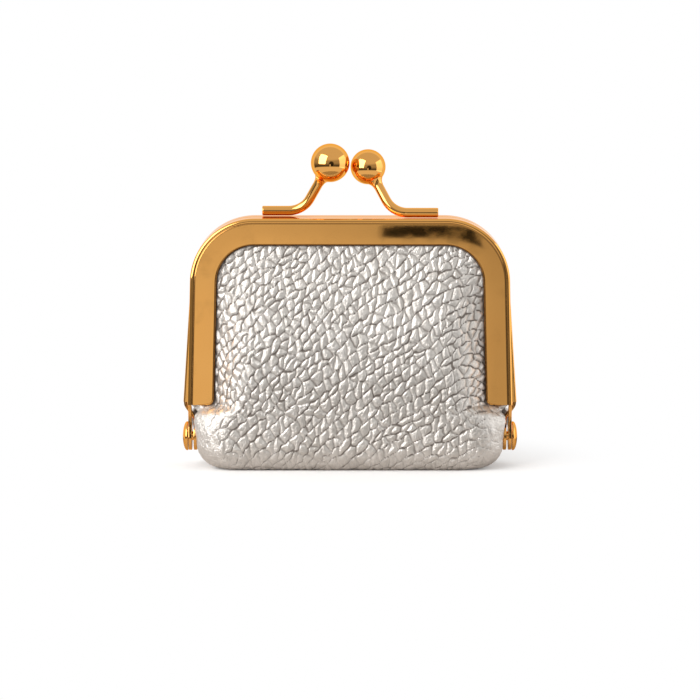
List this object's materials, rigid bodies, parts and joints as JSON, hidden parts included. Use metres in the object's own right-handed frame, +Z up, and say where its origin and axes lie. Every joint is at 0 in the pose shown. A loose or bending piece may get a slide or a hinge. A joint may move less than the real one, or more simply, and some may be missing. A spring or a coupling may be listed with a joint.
{
  "type": "jewelry pouch",
  "caption": "Small leather jewelry pouch in a hinged gold metal frame with a ball clasp, a flat base and a lined inside.",
  "frame": {"origin": "middle of the flat base that the pouch stands on", "axes": "+Z up, +X along the hinge axis to the right of someone facing the front, -Y out of the front panel"},
  "size_m": [0.0784, 0.0208, 0.0757],
  "materials": {
    "gold_metal": "polished gold plating",
    "leather": "silver metallic pebbled leather",
    "lining": "plain woven lining cloth",
    "board": "plain grey board",
    "paper_cord": "twisted kraft paper"
  },
  "bodies": {
    "base": {"front_leather_base": "leather", "back_leather_base": "leather", "front_lining_base": "lining", "back_lining_base": "lining", "base_board": "board", "hinge_rivet_left": "gold_metal", "hinge_rivet_right": "gold_metal"},
    "front_half": {"front_frame": "gold_metal", "front_clasp_wire": "gold_metal", "front_clasp_ball": "gold_metal", "front_leather_panel": "leather", "front_board": "board", "front_lining_panel": "lining", "front_channel_cord": "paper_cord"},
    "back_half": {"back_frame": "gold_metal", "back_clasp_wire": "gold_metal", "back_clasp_ball": "gold_metal", "back_leather_panel": "leather", "back_board": "board", "back_lining_panel": "lining", "back_channel_cord": "paper_cord"}
  },
  "joints": [
    {"name": "front_open", "type": "hinge", "parent": "base", "child": "front_half", "pos_m": [0, 0, 0.007], "axis": [1, 0, 0], "range_deg": [0, 50], "deforming": ["front_leather_base", "front_lining_base"]},
    {"name": "back_open", "type": "hinge", "parent": "base", "child": "back_half", "pos_m": [0, 0, 0.007], "axis": [1, 0, 0], "range_deg": [-50, 0], "deforming": ["back_leather_base", "back_lining_base"]}
  ],
  "couplings": [
    {"joint": "back_open", "follows": "front_open", "ratio": -1}
  ]
}
